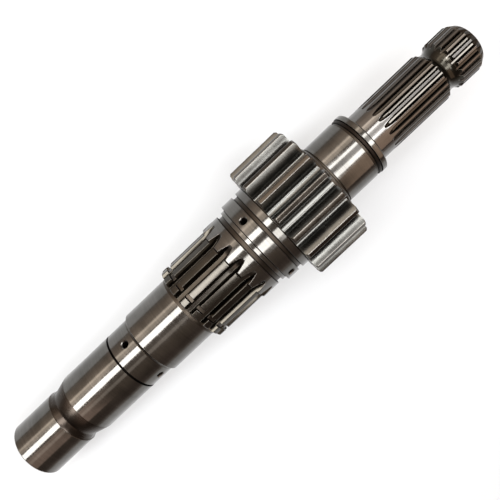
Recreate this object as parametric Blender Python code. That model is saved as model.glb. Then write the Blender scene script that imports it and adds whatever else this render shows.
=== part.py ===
"""Power take-off shaft, modelled the way the real one is made.

One bar of steel is turned to its steps and grooves. A gear and two splines are then cut
into it with form cutters, and the oil holes are drilled last. The shaft lies on a flat
floor as it comes to rest: on the rim of its input end and on two teeth of the gear.

All sizes are in metres. In the shaft's own frame the axis is local X, the input end face
is at X = 0 and the output end is at the far right. An angle round the axis is counted
from straight up (+Z) towards +Y.
"""

import math

import bmesh
import bpy
from mathutils import Matrix, Vector

# Input end: a plain ground journal, a turned relief, then the oil journal
END_JOURNAL_DIAMETER = 0.0400
END_JOURNAL_LENGTH = 0.0319
END_CHAMFER = 0.0008
RELIEF_DEPTH = 0.0010
RELIEF_FILLET_LENGTH = 0.0051
RELIEF_CONE_LENGTH = 0.0100
OIL_JOURNAL_DIAMETER = 0.0435
OIL_JOURNAL_LENGTH = 0.0563
SEAL_GROOVE_POSITION = 0.0395
SEAL_GROOVE_WIDTH = 0.0012
SEAL_GROOVE_DEPTH = 0.0010
BEARING_STEP_LENGTH = 0.0017
BEARING_JOURNAL_DIAMETER = 0.0470
BEARING_JOURNAL_LENGTH = 0.0333
GRINDING_RAMP_LENGTH = 0.0015
GRINDING_UNDERCUT_WIDTH = 0.0012
GRINDING_UNDERCUT_DEPTH = 0.0006

# Clutch spline and the collar that its cutter runs out into
CLUTCH_SPLINE_TEETH = 17
CLUTCH_SPLINE_DIAMETER = 0.0560
CLUTCH_SPLINE_DEPTH = 0.0036
CLUTCH_SPLINE_LENGTH = 0.0374
CLUTCH_TOOTH_SHARE = 0.60
CLUTCH_SPLINE_ANGLE = math.radians(5.0)
CLUTCH_ROOT_FILLET = 0.0005
CLUTCH_CHAMFER_LENGTH = 0.0007
CLUTCH_CHAMFER_DEPTH = 0.0011
CIRCLIP_POSITION = 0.0049
CIRCLIP_WIDTH = 0.0031
CIRCLIP_DEPTH = 0.0018
COLLAR_STEP_LENGTH = 0.0006
COLLAR_DIAMETER = 0.0583
COLLAR_LENGTH = 0.0125
CLUTCH_RUNOUT_FROM_COLLAR_END = 0.0042

# Rings and grooves beside the gear
OIL_GROOVE_WIDTH = 0.0036
OIL_GROOVE_DEPTH = 0.00185
GUIDE_RING_DIAMETER = 0.0584
GUIDE_RING_LENGTH = 0.0030
MIDDLE_JOURNAL_DIAMETER = 0.0634
MIDDLE_JOURNAL_LENGTH = 0.0090
MIDDLE_GROOVE_WIDTH = 0.0032
MIDDLE_GROOVE_DEPTH = 0.0019
THRUST_RING_DIAMETER = 0.0638
THRUST_RING_LENGTH = 0.0047
THRUST_UNDERCUT_WIDTH = 0.0005
THRUST_UNDERCUT_DEPTH = 0.0006

# Gear, cut in one with the shaft
GEAR_TEETH = 18
GEAR_MODULE = 0.00425
GEAR_ADDENDUM = 0.88
GEAR_DEDENDUM = 1.25
GEAR_PROFILE_SHIFT = 0.26
GEAR_FACE_WIDTH = 0.0400
GEAR_CHAMFER = 0.0012
GEAR_ROOT_FILLET = 0.0020

# Hub, front journal and the retaining groove with its small collar
HUB_DIAMETER = 0.0510
HUB_LENGTH = 0.0040
HUB_CHAMFER = 0.0008
FRONT_UNDERCUT_WIDTH = 0.0017
FRONT_UNDERCUT_DEPTH = 0.0008
FRONT_JOURNAL_DIAMETER = 0.0444
FRONT_JOURNAL_LENGTH = 0.0227
RETAINING_GROOVE_WIDTH = 0.0019
RETAINING_GROOVE_DEPTH = 0.0010
RETAINING_LAND_DIAMETER = 0.0442
RETAINING_LAND_LENGTH = 0.0020
RETAINING_LAND_CHAMFER = 0.0005
WIPER_GROOVE_WIDTH = 0.0006
WIPER_GROOVE_DEPTH = 0.0008
SMALL_COLLAR_DIAMETER = 0.0450
SMALL_COLLAR_LENGTH = 0.0038
SMALL_COLLAR_CHAMFER = 0.0007

# Output end: the standard 1 3/8 inch power take-off spline with 21 teeth
OUTPUT_TEETH = 21
OUTPUT_DIAMETER = 0.03487
OUTPUT_LENGTH = 0.0880
OUTPUT_SPLINE_DEPTH = 0.00185
OUTPUT_TOOTH_SHARE = 0.50
OUTPUT_ROOT_FILLET = 0.0003
OUTPUT_SPLINE_ANGLE = math.radians(-0.8)
OUTPUT_PLAIN_LENGTH = 0.0111
LOCK_GROOVE_FROM_END = 0.0248
LOCK_GROOVE_RADIUS = 0.0068
LOCK_GROOVE_DEPTH = 0.0030
OUTPUT_CHAMFER_LENGTH = 0.0045
OUTPUT_CHAMFER_DEPTH = 0.0030

# The form cutters, and the pressure angles that they give the flanks
SPLINE_CUTTER_RADIUS = 0.0200
SPLINE_PRESSURE_ANGLE = math.radians(30.0)
GEAR_PRESSURE_ANGLE = math.radians(20.0)

# Four oil holes in a row round the oil journal, and four round the middle journal
OIL_HOLE_DIAMETER = 0.0045
OIL_HOLE_COUNTERSINK = 0.0006
OIL_HOLE_ANGLE = math.radians(36.5)
OIL_HOLE_FROM_JOURNAL_END = 0.0065

# Lathe centres in both end faces
CENTRE_HOLE_DIAMETER = 0.0040
CENTRE_MOUTH_DIAMETER = 0.0085
CENTRE_CONE_ANGLE = math.radians(60.0)
CENTRE_PILOT_DEPTH = 0.0060

# How finely the round forms are faceted
TURNED_FACETS = 40
HOLE_FACETS = 12
GEAR_FLANK_STEPS = 3
GEAR_FILLET_STEPS = 3
SPLINE_FLANK_STEPS = 2
SPLINE_FILLET_STEPS = 1
RUNOUT_STEPS = 4
GROOVE_ARC_STEPS = 6
SHARP_ANGLE = math.radians(28.0)

# Limits of the work: how far a tool starts outside the steel, how close two points may
# lie, the narrowest tooth tip as a share of the pitch, and the most that a fillet may
# take of a side that it rounds
OVERRUN = 0.0005
MERGE_DISTANCE = 0.000002
NARROWEST_TIP = 0.05
FILLET_LIMIT = 0.9

STEEL_COLOUR = (0.36, 0.34, 0.32, 1.0)
STEEL_ROUGHNESS = 0.32


class Turning:
    """The outline that a lathe tool follows, as (station, radius) points."""

    def __init__(self):
        self.station = 0.0
        self.radius = 0.0
        self.points = []

    def go(self, station, radius):
        self.station = station
        self.radius = radius
        self.points.append((station, radius))

    def step(self, diameter):
        """Cut a square shoulder, up or down, to a new diameter."""
        self.go(self.station, diameter / 2)

    def along(self, length):
        """Turn a plain cylinder."""
        self.go(self.station + length, self.radius)

    def cone(self, length, radius):
        """Turn a chamfer or a taper that ends at the given radius."""
        self.go(self.station + length, radius)

    def groove(self, width, depth):
        """Plunge a square ring groove and come back up to the same diameter."""
        rim = self.radius
        self.go(self.station, rim - depth)
        self.along(width)
        self.go(self.station, rim)

    def undercut(self, width, depth, next_diameter):
        """Relieve the foot of a shoulder, so that a grinding wheel can reach it."""
        floor = min(self.radius, next_diameter / 2) - depth
        self.go(self.station, floor)
        self.along(width)


def turn_input_end(turning, marks):
    """End journal, relief, oil journal with its seal groove, and bearing journal."""
    end_radius = END_JOURNAL_DIAMETER / 2
    turning.go(0.0, 0.0)
    turning.go(0.0, end_radius - END_CHAMFER)
    turning.cone(END_CHAMFER, end_radius)
    marks["rest_rim"] = (turning.station, end_radius)
    turning.along(END_JOURNAL_LENGTH - END_CHAMFER)

    relief_start = turning.station
    fillet_steps = GROOVE_ARC_STEPS // 2
    for step in range(1, fillet_steps + 1):
        turn = math.pi / 2 * step / fillet_steps
        station = relief_start + RELIEF_FILLET_LENGTH * (1 - math.cos(turn))
        turning.go(station, end_radius - RELIEF_DEPTH * math.sin(turn))
    turning.cone(RELIEF_CONE_LENGTH, OIL_JOURNAL_DIAMETER / 2)

    before_groove = SEAL_GROOVE_POSITION - SEAL_GROOVE_WIDTH / 2
    turning.along(before_groove)
    turning.groove(SEAL_GROOVE_WIDTH, SEAL_GROOVE_DEPTH)
    turning.along(OIL_JOURNAL_LENGTH - before_groove - SEAL_GROOVE_WIDTH)
    marks["oil_holes"] = turning.station - OIL_HOLE_FROM_JOURNAL_END
    turning.cone(BEARING_STEP_LENGTH, BEARING_JOURNAL_DIAMETER / 2)
    turning.along(BEARING_JOURNAL_LENGTH)


def turn_clutch_section(turning, marks):
    """Blank of the clutch spline with its circlip groove, and the collar behind it."""
    undercut_floor = BEARING_JOURNAL_DIAMETER / 2 - GRINDING_UNDERCUT_DEPTH
    turning.cone(GRINDING_RAMP_LENGTH, undercut_floor)
    turning.along(GRINDING_UNDERCUT_WIDTH)
    marks["clutch_start"] = turning.station
    tip_radius = CLUTCH_SPLINE_DIAMETER / 2
    turning.go(turning.station, tip_radius - CLUTCH_CHAMFER_DEPTH)
    turning.cone(CLUTCH_CHAMFER_LENGTH, tip_radius)
    turning.along(CIRCLIP_POSITION - CLUTCH_CHAMFER_LENGTH)
    turning.groove(CIRCLIP_WIDTH, CIRCLIP_DEPTH)
    turning.along(CLUTCH_SPLINE_LENGTH - CIRCLIP_POSITION - CIRCLIP_WIDTH)
    turning.cone(COLLAR_STEP_LENGTH, COLLAR_DIAMETER / 2)
    turning.along(COLLAR_LENGTH)
    marks["clutch_runout"] = turning.station - CLUTCH_RUNOUT_FROM_COLLAR_END


def turn_middle(turning, marks):
    """Oil groove, guide ring, middle journal, its groove and the thrust ring."""
    turning.undercut(OIL_GROOVE_WIDTH, OIL_GROOVE_DEPTH, GUIDE_RING_DIAMETER)
    turning.step(GUIDE_RING_DIAMETER)
    turning.along(GUIDE_RING_LENGTH)
    turning.step(MIDDLE_JOURNAL_DIAMETER)
    marks["middle_holes"] = turning.station + MIDDLE_JOURNAL_LENGTH / 2
    turning.along(MIDDLE_JOURNAL_LENGTH)
    turning.undercut(MIDDLE_GROOVE_WIDTH, MIDDLE_GROOVE_DEPTH, THRUST_RING_DIAMETER)
    turning.step(THRUST_RING_DIAMETER)
    turning.along(THRUST_RING_LENGTH)


def turn_gear_and_hub(turning, marks):
    """Gear blank with chamfered rims, the hub behind it and the front journal."""
    turning.undercut(THRUST_UNDERCUT_WIDTH, THRUST_UNDERCUT_DEPTH, THRUST_RING_DIAMETER)
    tip_radius = gear_tip_radius()
    marks["gear_start"] = turning.station
    turning.go(turning.station, tip_radius - GEAR_CHAMFER)
    turning.cone(GEAR_CHAMFER, tip_radius)
    turning.along(GEAR_FACE_WIDTH - 2 * GEAR_CHAMFER)
    turning.cone(GEAR_CHAMFER, tip_radius - GEAR_CHAMFER)
    marks["gear_end"] = turning.station
    turning.step(HUB_DIAMETER)
    turning.along(HUB_LENGTH - HUB_CHAMFER)
    turning.cone(HUB_CHAMFER, HUB_DIAMETER / 2 - HUB_CHAMFER)
    turning.undercut(FRONT_UNDERCUT_WIDTH, FRONT_UNDERCUT_DEPTH, FRONT_JOURNAL_DIAMETER)
    turning.step(FRONT_JOURNAL_DIAMETER)
    turning.along(FRONT_JOURNAL_LENGTH)


def turn_small_collar(turning):
    """Retaining groove, its rough land, the wiper groove and the small collar."""
    turning.undercut(RETAINING_GROOVE_WIDTH, RETAINING_GROOVE_DEPTH, RETAINING_LAND_DIAMETER)
    land_radius = RETAINING_LAND_DIAMETER / 2
    turning.go(turning.station, land_radius - RETAINING_LAND_CHAMFER)
    turning.cone(RETAINING_LAND_CHAMFER, land_radius)
    turning.along(RETAINING_LAND_LENGTH - RETAINING_LAND_CHAMFER)
    turning.undercut(WIPER_GROOVE_WIDTH, WIPER_GROOVE_DEPTH, SMALL_COLLAR_DIAMETER)
    turning.step(SMALL_COLLAR_DIAMETER)
    turning.along(SMALL_COLLAR_LENGTH - SMALL_COLLAR_CHAMFER)
    turning.cone(SMALL_COLLAR_CHAMFER, SMALL_COLLAR_DIAMETER / 2 - SMALL_COLLAR_CHAMFER)


def turn_output_end(turning, marks):
    """Blank of the output spline with the round groove that locks the drive yoke."""
    radius = OUTPUT_DIAMETER / 2
    start = turning.station
    end = start + OUTPUT_LENGTH
    groove_middle = end - LOCK_GROOVE_FROM_END
    arc_centre = radius - LOCK_GROOVE_DEPTH + LOCK_GROOVE_RADIUS
    half_angle = math.acos(min(1.0, (arc_centre - radius) / LOCK_GROOVE_RADIUS))
    turning.step(OUTPUT_DIAMETER)
    for step in range(GROOVE_ARC_STEPS + 1):
        turn = half_angle * (2 * step / GROOVE_ARC_STEPS - 1)
        station = groove_middle + LOCK_GROOVE_RADIUS * math.sin(turn)
        turning.go(station, arc_centre - LOCK_GROOVE_RADIUS * math.cos(turn))
    turning.go(end - OUTPUT_CHAMFER_LENGTH, radius)
    turning.go(end, radius - OUTPUT_CHAMFER_DEPTH)
    turning.go(end, 0.0)
    marks["output_runout"] = start + OUTPUT_PLAIN_LENGTH
    marks["output_end"] = end


def turned_outline():
    """The whole outline, and the stations that the later operations work from."""
    turning = Turning()
    marks = {}
    turn_input_end(turning, marks)
    turn_clutch_section(turning, marks)
    turn_middle(turning, marks)
    turn_gear_and_hub(turning, marks)
    turn_small_collar(turning)
    turn_output_end(turning, marks)
    return turning.points, marks


def gear_pitch_radius():
    return GEAR_MODULE * GEAR_TEETH / 2


def gear_tip_radius():
    return gear_pitch_radius() + GEAR_MODULE * (GEAR_ADDENDUM + GEAR_PROFILE_SHIFT)


def gear_root_radius():
    return gear_pitch_radius() - GEAR_MODULE * (GEAR_DEDENDUM - GEAR_PROFILE_SHIFT)


def revolve(name, points, facets):
    """Spin an outline round local X into one closed mesh object."""
    mesh = bpy.data.meshes.new(name)
    bm = bmesh.new()
    verts = [bm.verts.new((station, 0.0, radius)) for station, radius in points]
    edges = [bm.edges.new(pair) for pair in zip(verts, verts[1:])]
    bmesh.ops.spin(
        bm,
        geom=verts + edges,
        cent=(0, 0, 0),
        axis=(1, 0, 0),
        angle=2 * math.pi,
        steps=facets,
    )
    bmesh.ops.remove_doubles(bm, verts=bm.verts, dist=MERGE_DISTANCE)
    bmesh.ops.recalc_face_normals(bm, faces=bm.faces)
    bm.to_mesh(mesh)
    bm.free()
    body = bpy.data.objects.new(name, mesh)
    bpy.context.scene.collection.objects.link(body)
    return body


def involute(angle):
    return math.tan(angle) - angle


def rounded(before, corner, after, radius, steps):
    """Points that round one corner of an outline, with a radius that its sides can hold."""
    to_before = (before - corner).normalized()
    to_after = (after - corner).normalized()
    half_corner = to_before.angle(to_after) / 2
    room = FILLET_LIMIT * min((before - corner).length, (after - corner).length)
    setback = min(radius / math.tan(half_corner), room)
    first = corner + to_before * setback
    last = corner + to_after * setback
    points = []
    for step in range(steps + 1):
        share = step / steps
        entering = first.lerp(corner, share)
        leaving = corner.lerp(last, share)
        points.append(entering.lerp(leaving, share))
    return points


class ToothForm:
    """The cross-section of a toothed part of the shaft, with involute flanks."""

    def __init__(self, teeth, pitch_radius, pressure_angle, half_tooth, root_radius, fillet):
        self.teeth = teeth
        self.half_pitch = math.pi / teeth
        self.base_radius = pitch_radius * math.cos(pressure_angle)
        self.half_tooth_at_base = half_tooth + involute(pressure_angle)
        self.root_radius = root_radius
        self.fillet = fillet

    def half_space(self, radius):
        """Half the angle of the gap between two teeth, at a radius. Below the base circle
        the flank runs straight towards the axis."""
        flank_angle = math.acos(min(1.0, self.base_radius / radius))
        half_tooth = self.half_tooth_at_base - involute(flank_angle)
        return self.half_pitch - max(half_tooth, self.half_pitch * NARROWEST_TIP)

    def space_outline(self, outer_radius, flank_steps, fillet_steps):
        """Outline of the gap between two teeth. Its middle lies on the second axis."""
        depth = outer_radius - self.root_radius
        left = []
        for step in range(flank_steps + 1):
            radius = outer_radius - depth * step / flank_steps
            angle = self.half_space(radius)
            left.append(Vector((-radius * math.sin(angle), radius * math.cos(angle))))
        floor_corner = left.pop()
        floor_middle = Vector((0.0, self.root_radius))
        left += rounded(left[-1], floor_corner, floor_middle, self.fillet, fillet_steps)
        right = [Vector((-point.x, point.y)) for point in reversed(left)]
        return left + right


def gear_form():
    """Tooth form of the gear. Its profile shift widens the teeth at the pitch circle."""
    widening = 2 * GEAR_PROFILE_SHIFT * math.tan(GEAR_PRESSURE_ANGLE) / GEAR_TEETH
    return ToothForm(
        GEAR_TEETH,
        gear_pitch_radius(),
        GEAR_PRESSURE_ANGLE,
        math.pi / (2 * GEAR_TEETH) + widening,
        gear_root_radius(),
        GEAR_ROOT_FILLET,
    )


def spline_form(teeth, diameter, depth, tooth_share, fillet):
    """Tooth form of an involute spline, whose tip diameter is its module times teeth + 1."""
    pitch_radius = diameter * teeth / (teeth + 1) / 2
    return ToothForm(
        teeth,
        pitch_radius,
        SPLINE_PRESSURE_ANGLE,
        math.pi / teeth * tooth_share,
        diameter / 2 - depth,
        fillet,
    )


def form_cutter(name, outline, path, teeth, first_angle):
    """One tool body for every gap of a toothed section. The outline is swept along the
    path of (station, lift) pairs, where lift is how far the tool has backed out."""
    mesh = bpy.data.meshes.new(name)
    bm = bmesh.new()
    for copy in range(teeth):
        turn = first_angle + 2 * math.pi * copy / teeth
        placing = Matrix.Rotation(-turn, 4, "X")
        sections = []
        for station, lift in path:
            points = [placing @ Vector((station, p.x, p.y + lift)) for p in outline]
            sections.append([bm.verts.new(point) for point in points])
        for here, there in zip(sections, sections[1:]):
            for index in range(len(outline)):
                after = (index + 1) % len(outline)
                bm.faces.new((here[index], here[after], there[after], there[index]))
        bm.faces.new(reversed(sections[0]))
        bm.faces.new(sections[-1])
    bmesh.ops.recalc_face_normals(bm, faces=bm.faces)
    bm.to_mesh(mesh)
    bm.free()
    cutter = bpy.data.objects.new(name, mesh)
    cutter.display_type = "WIRE"
    cutter.hide_render = True
    bpy.context.scene.collection.objects.link(cutter)
    return cutter


def runout_path(open_station, runout_station, depth, full_lift):
    """Path of a disc cutter that works at full depth from its open end, then climbs out
    along its own radius. At the run-out station it leaves a surface depth above the floor."""
    towards_runout = math.copysign(1.0, runout_station - open_station)
    lift_at_runout = min(depth, SPLINE_CUTTER_RADIUS)
    climb = math.sqrt(2 * SPLINE_CUTTER_RADIUS * lift_at_runout - lift_at_runout**2)
    climb_start = runout_station - towards_runout * climb
    last_turn = math.acos(max(0.0, 1 - full_lift / SPLINE_CUTTER_RADIUS))
    path = [(open_station, 0.0)]
    for step in range(RUNOUT_STEPS + 1):
        turn = last_turn * step / RUNOUT_STEPS
        station = climb_start + towards_runout * SPLINE_CUTTER_RADIUS * math.sin(turn)
        path.append((station, SPLINE_CUTTER_RADIUS * (1 - math.cos(turn))))
    return path


def spline_cutter(name, form, blank_radius, ends, first_angle):
    """Cutter for a spline. It comes in over one end of the blank and runs out at the other."""
    open_station, runout_station = ends
    outline = form.space_outline(blank_radius + OVERRUN, SPLINE_FLANK_STEPS, SPLINE_FILLET_STEPS)
    runout_depth = blank_radius - form.root_radius
    path = runout_path(open_station, runout_station, runout_depth, runout_depth + OVERRUN)
    return form_cutter(name, outline, path, form.teeth, first_angle)


def gear_cutter(marks):
    """Cutter for the gear. It passes right through, past both side faces, and one of its
    gaps points straight down."""
    form = gear_form()
    outline = form.space_outline(gear_tip_radius() + OVERRUN, GEAR_FLANK_STEPS, GEAR_FILLET_STEPS)
    path = [(marks["gear_start"] - OVERRUN, 0.0), (marks["gear_end"] + OVERRUN, 0.0)]
    return form_cutter("gear_cutter", outline, path, form.teeth, math.pi)


def oil_drill(name, station, journal_diameter, angle):
    """A drill that passes right through the shaft, countersunk at both mouths."""
    hole = OIL_HOLE_DIAMETER / 2
    surface = journal_diameter / 2
    shoulder = surface - OIL_HOLE_COUNTERSINK
    reach = surface + OVERRUN
    mouth = hole + OIL_HOLE_COUNTERSINK + OVERRUN
    near_end = [(-reach, 0.0), (-reach, mouth), (-shoulder, hole)]
    far_end = [(-station, radius) for station, radius in reversed(near_end)]
    drill = revolve(name, near_end + far_end, HOLE_FACETS)
    upright = Matrix.Rotation(-math.pi / 2, 4, "Y")
    drill.matrix_world = (
        Matrix.Translation((station, 0, 0)) @ Matrix.Rotation(-angle, 4, "X") @ upright
    )
    drill.display_type = "WIRE"
    drill.hide_render = True
    return drill


def centre_drill(name, face_station, inwards):
    """A drill for the lathe centre of one end face: a pilot hole with a conical mouth."""
    pilot = CENTRE_HOLE_DIAMETER / 2
    mouth = CENTRE_MOUTH_DIAMETER / 2
    slope = math.tan(CENTRE_CONE_ANGLE / 2)
    cone_depth = (mouth - pilot) / slope
    bottom = cone_depth + CENTRE_PILOT_DEPTH
    point = bottom + pilot * slope
    widest = mouth + OVERRUN * slope
    hole = [(point, 0.0), (bottom, pilot), (cone_depth, pilot)]
    opening = [(-OVERRUN, widest), (-OVERRUN, 0.0)]
    placed = [(face_station + inwards * depth, radius) for depth, radius in hole + opening]
    drill = revolve(name, placed, HOLE_FACETS)
    drill.display_type = "WIRE"
    drill.hide_render = True
    return drill


def make_tools(marks):
    """Every tool that cuts into the turned blank, in the order of the work."""
    clutch_form = spline_form(
        CLUTCH_SPLINE_TEETH,
        CLUTCH_SPLINE_DIAMETER,
        CLUTCH_SPLINE_DEPTH,
        CLUTCH_TOOTH_SHARE,
        CLUTCH_ROOT_FILLET,
    )
    output_form = spline_form(
        OUTPUT_TEETH,
        OUTPUT_DIAMETER,
        OUTPUT_SPLINE_DEPTH,
        OUTPUT_TOOTH_SHARE,
        OUTPUT_ROOT_FILLET,
    )
    clutch_blank = max(COLLAR_DIAMETER, CLUTCH_SPLINE_DIAMETER) / 2
    output_blank = OUTPUT_DIAMETER / 2
    clutch_ends = (marks["clutch_start"] - OVERRUN, marks["clutch_runout"])
    output_ends = (marks["output_end"] + OVERRUN, marks["output_runout"])
    tools = [
        gear_cutter(marks),
        spline_cutter("clutch_cutter", clutch_form, clutch_blank, clutch_ends, CLUTCH_SPLINE_ANGLE),
        spline_cutter("output_cutter", output_form, output_blank, output_ends, OUTPUT_SPLINE_ANGLE),
    ]
    rows = {"oil_holes": OIL_JOURNAL_DIAMETER, "middle_holes": MIDDLE_JOURNAL_DIAMETER}
    for row, diameter in rows.items():
        for quarter in range(2):
            angle = OIL_HOLE_ANGLE + quarter * math.pi / 2
            tools.append(oil_drill(f"{row}_drill_{quarter}", marks[row], diameter, angle))
    tools.append(centre_drill("input_centre_drill", 0.0, 1))
    tools.append(centre_drill("output_centre_drill", marks["output_end"], -1))
    return tools


def machine(blank, tools):
    """Cut every tool out of the blank and keep the finished mesh."""
    for tool in tools:
        cut = blank.modifiers.new(tool.name, "BOOLEAN")
        cut.operation = "DIFFERENCE"
        cut.solver = "EXACT"
        cut.object = tool
    bpy.context.view_layer.update()
    graph = bpy.context.evaluated_depsgraph_get()
    finished = bpy.data.meshes.new_from_object(blank.evaluated_get(graph))
    blank.modifiers.clear()
    blank.data = finished
    for tool in tools:
        bpy.data.objects.remove(tool, do_unlink=True)

    bm = bmesh.new()
    bm.from_mesh(finished)
    bmesh.ops.remove_doubles(bm, verts=bm.verts, dist=MERGE_DISTANCE)
    bmesh.ops.dissolve_degenerate(bm, edges=bm.edges, dist=MERGE_DISTANCE)
    bm.to_mesh(finished)
    bm.free()
    finished.shade_smooth()
    finished.set_sharp_from_angle(angle=SHARP_ANGLE)


def steel():
    material = bpy.data.materials.new("hardened_ground_steel")
    material.use_nodes = True
    shader = material.node_tree.nodes["Principled BSDF"]
    shader.inputs["Base Color"].default_value = STEEL_COLOUR
    shader.inputs["Metallic"].default_value = 1.0
    shader.inputs["Roughness"].default_value = STEEL_ROUGHNESS
    return material


def resting_tilt(marks):
    """Slope of the axis when the input rim and two gear teeth touch the floor. A gap of
    the gear points down, so the teeth on both sides of it touch with their inner edges."""
    rim_station, rim_radius = marks["rest_rim"]
    half_space = gear_form().half_space(gear_tip_radius())
    tooth_reach = gear_tip_radius() * math.cos(half_space)
    tooth_station = marks["gear_start"] + GEAR_CHAMFER
    return math.atan2(tooth_reach - rim_radius, tooth_station - rim_station)


def lay_on_floor(shaft, tilt):
    """Tip the shaft onto its input end and set the middle of its underside at the origin."""
    shaft.rotation_euler = (0.0, -tilt, 0.0)
    turned = shaft.rotation_euler.to_matrix()
    corners = [turned @ vertex.co for vertex in shaft.data.vertices]
    low = Vector([min(corner[axis] for corner in corners) for axis in range(3)])
    high = Vector([max(corner[axis] for corner in corners) for axis in range(3)])
    middle = (low + high) / 2
    shaft.location = (-middle.x, -middle.y, -low.z)


def main():
    for leftover in list(bpy.data.objects):
        bpy.data.objects.remove(leftover, do_unlink=True)
    points, marks = turned_outline()
    shaft = revolve("pto_shaft", points, TURNED_FACETS)
    machine(shaft, make_tools(marks))
    shaft.data.materials.clear()
    shaft.data.materials.append(steel())
    lay_on_floor(shaft, resting_tilt(marks))


main()
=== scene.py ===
# %% [markdown]
# # A power take-off shaft in hardened steel
#
# This shaft carries an engine's power to a mower or a baler. It is one piece of steel:
# turned to its steps and grooves, cut with a gear and two splines, drilled for oil, hardened,
# and at last ground where bearings and seals run. The lesson builds it in that order, as one
# closed mesh, and gives every stretch the finish that its tool left on it.
#
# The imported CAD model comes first, because it says where the shaft lies and how big it is.

# %% Load the CAD model
import math

import bmesh
import bpy
from mathutils import Matrix, Vector


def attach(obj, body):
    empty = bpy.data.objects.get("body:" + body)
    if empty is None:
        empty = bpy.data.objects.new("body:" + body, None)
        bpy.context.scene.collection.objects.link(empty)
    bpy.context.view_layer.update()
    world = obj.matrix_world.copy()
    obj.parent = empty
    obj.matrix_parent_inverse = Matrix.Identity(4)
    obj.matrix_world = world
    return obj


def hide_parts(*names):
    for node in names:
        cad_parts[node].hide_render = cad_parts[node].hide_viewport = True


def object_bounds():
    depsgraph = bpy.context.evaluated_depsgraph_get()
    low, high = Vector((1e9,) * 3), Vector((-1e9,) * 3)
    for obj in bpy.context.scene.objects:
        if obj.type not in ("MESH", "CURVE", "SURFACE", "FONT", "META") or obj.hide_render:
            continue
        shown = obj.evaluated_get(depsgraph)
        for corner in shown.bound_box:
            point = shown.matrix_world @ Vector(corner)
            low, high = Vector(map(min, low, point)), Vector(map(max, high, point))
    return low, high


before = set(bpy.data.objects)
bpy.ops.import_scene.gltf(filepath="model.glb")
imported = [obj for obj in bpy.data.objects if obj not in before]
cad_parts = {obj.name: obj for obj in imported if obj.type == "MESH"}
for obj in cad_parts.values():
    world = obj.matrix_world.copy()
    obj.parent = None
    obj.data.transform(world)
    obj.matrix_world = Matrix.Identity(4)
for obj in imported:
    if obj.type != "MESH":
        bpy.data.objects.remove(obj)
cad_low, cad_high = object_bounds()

print("CAD box, mm:", [round((high - low) * 1000, 1) for low, high in zip(cad_low, cad_high)])

# %% [markdown]
# ## The turned outline
#
# A lathe hand thinks in stations along the axis and in diameters. The outline below is the
# path of the tool from the input end to the output end, in millimetres. Each stretch also
# names its finish: ground, turned, drilled, the land of a spline, or near-black painted
# shade, as on the walls of most grooves.
#
# A screw or spin modifier could turn this outline into a body. Plain rings of points are
# used instead, because the gear and the splines can then be part of the same rings, with a
# clean row of points along every tooth.
#
# The path starts at the bottom of the lathe centre, the small coned hole in the end face
# by which the shaft was held.

# %% The outline and its finishes
class Outline:
    """The path of the lathe tool, as (station, radius) points with a finish for each stretch."""

    def __init__(self, station, radius):
        self.points = [(station, radius)]
        self.finishes = []

    def station(self):
        return self.points[-1][0]

    def radius(self):
        return self.points[-1][1]

    def go(self, station, radius, finish):
        self.points.append((station, radius))
        self.finishes.append(finish)

    def along(self, length, finish):
        self.go(self.station() + length, self.radius(), finish)

    def cone(self, length, radius, finish="turned"):
        self.go(self.station() + length, radius, finish)

    def wall(self, radius, finish="turned"):
        self.go(self.station(), radius, finish)

    def groove(self, width, depth, floor, walls="turned", far_radius=None):
        """A groove cut down from here. Its far wall can rise to a radius of its own."""
        far_radius = far_radius or self.radius()
        self.wall(self.radius() - depth, walls)
        self.along(width, floor)
        self.wall(far_radius, walls)


END_RADIUS, END_CHAMFER = 20.0, 0.8
CENTRE_MOUTH, CENTRE_PILOT, CENTRE_DEPTH = 4.25, 2.0, 6.0
CENTRE_SLOPE = math.tan(math.radians(30.0))
CENTRE_CONE = (CENTRE_MOUTH - CENTRE_PILOT) / CENTRE_SLOPE
CENTRE_BOTTOM = CENTRE_CONE + CENTRE_DEPTH
CENTRE_POINT = CENTRE_BOTTOM + CENTRE_PILOT * CENTRE_SLOPE

outline = Outline(CENTRE_POINT, 0.0)
outline.go(CENTRE_BOTTOM, CENTRE_PILOT, "drilled")
outline.go(CENTRE_CONE, CENTRE_PILOT, "drilled")
outline.go(0.0, CENTRE_MOUTH, "drilled")
outline.wall(END_RADIUS - END_CHAMFER)
print("the lathe centre is", round(CENTRE_POINT, 2), "mm deep")

# %% [markdown]
# ### Input end
#
# The end journal and the oil journal are ground, and the hollow between them is only turned.
# It is there so that the grinding wheel can leave the steel. Its left side is a quarter of an
# ellipse and its right side a long cone.

# %% Journals, relief and seal groove
OIL_RADIUS, BEARING_RADIUS = 21.75, 23.5
RELIEF_START, RELIEF_DEPTH, RELIEF_FILLET, RELIEF_CONE = 31.9, 1.0, 5.1, 10.0
RELIEF_STEPS = 8
BEFORE_SEAL, SEAL_WIDTH, SEAL_DEPTH, BEHIND_SEAL = 38.9, 1.2, 1.0, 16.2
HOLES_TO_SHOULDER, SHOULDER_CONE, BEARING_LENGTH = 6.5, 1.7, 33.3
UNDERCUT_CONE, UNDERCUT_DEPTH, UNDERCUT_WIDTH = 1.5, 0.6, 1.2

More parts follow.
